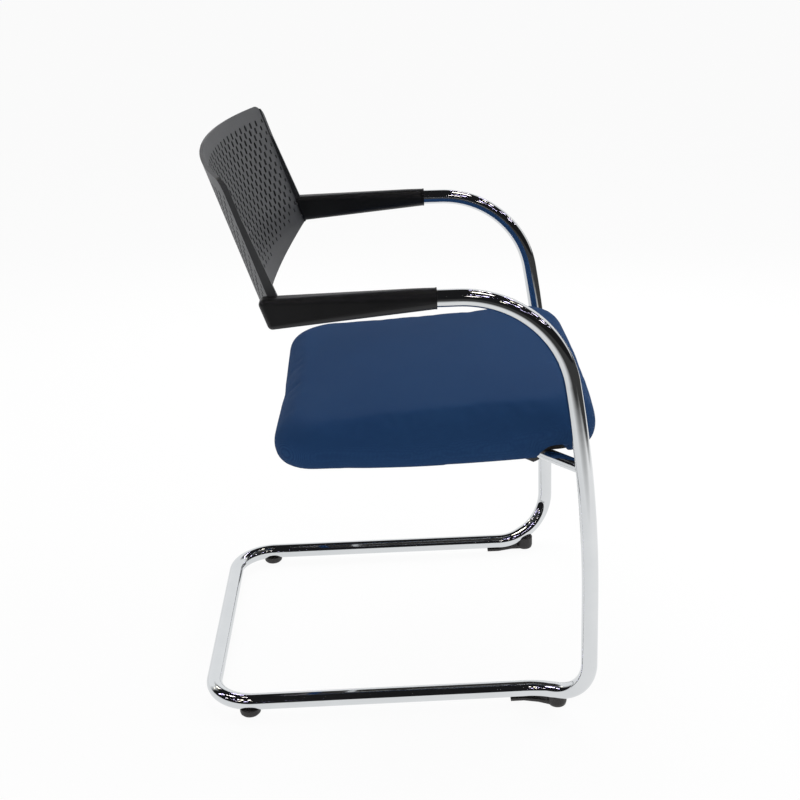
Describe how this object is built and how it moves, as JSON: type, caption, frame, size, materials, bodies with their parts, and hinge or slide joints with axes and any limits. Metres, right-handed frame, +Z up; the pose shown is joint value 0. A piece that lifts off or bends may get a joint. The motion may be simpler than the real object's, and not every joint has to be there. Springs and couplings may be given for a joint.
{
  "type": "conference chair",
  "caption": "Conference chair with a cantilevered tube frame, perforated curved back shell between arm covers, and upholstered seat.",
  "frame": {"origin": "on the floor, in the middle of the chair's footprint: half way between the outer sides of the arm covers, and half way between the front of the seat cushion and the rear of the floor bar", "axes": "+X across the chair (right as seen from in front of it), the sitter faces -Y, +Z up"},
  "size_m": [0.5644, 0.5729, 0.7916],
  "materials": {
    "chromed_tube": "bright chrome-plated steel tube",
    "back_plastic": "matte dark grey moulded plastic",
    "arm_plastic": "matte black moulded plastic",
    "glide_plastic": "black moulded plastic",
    "saddle_plastic": "black moulded plastic",
    "seat_panel": "dark stained moulded plywood",
    "seat_fabric": "plain blue woven upholstery over foam",
    "fasteners": "zinc-plated steel"
  },
  "bodies": {
    "root": {"arm_tube_left": "chromed_tube", "arm_tube_right": "chromed_tube", "leg_tube_left": "chromed_tube", "leg_tube_right": "chromed_tube", "foot_bend_left": "chromed_tube", "foot_bend_right": "chromed_tube", "foot_turn_left": "chromed_tube", "foot_turn_right": "chromed_tube", "runner_left": "chromed_tube", "runner_right": "chromed_tube", "rear_loop": "chromed_tube", "carrier_arm_left": "chromed_tube", "carrier_arm_right": "chromed_tube", "seat_carrier": "chromed_tube", "saddle_front_left": "saddle_plastic", "saddle_front_right": "saddle_plastic", "saddle_rear_left": "saddle_plastic", "saddle_rear_right": "saddle_plastic", "saddle_screws": "fasteners", "seat_panel": "seat_panel", "seat_cushion": "seat_fabric", "back_shell": "back_plastic", "arm_cover_left": "arm_plastic", "arm_cover_right": "arm_plastic", "tube_plug_left": "arm_plastic", "tube_plug_right": "arm_plastic", "back_pins_left": "fasteners", "back_pins_right": "fasteners", "front_glide_left": "glide_plastic", "front_glide_right": "glide_plastic", "rear_glide_left": "glide_plastic", "rear_glide_right": "glide_plastic"}
  },
  "joints": []
}
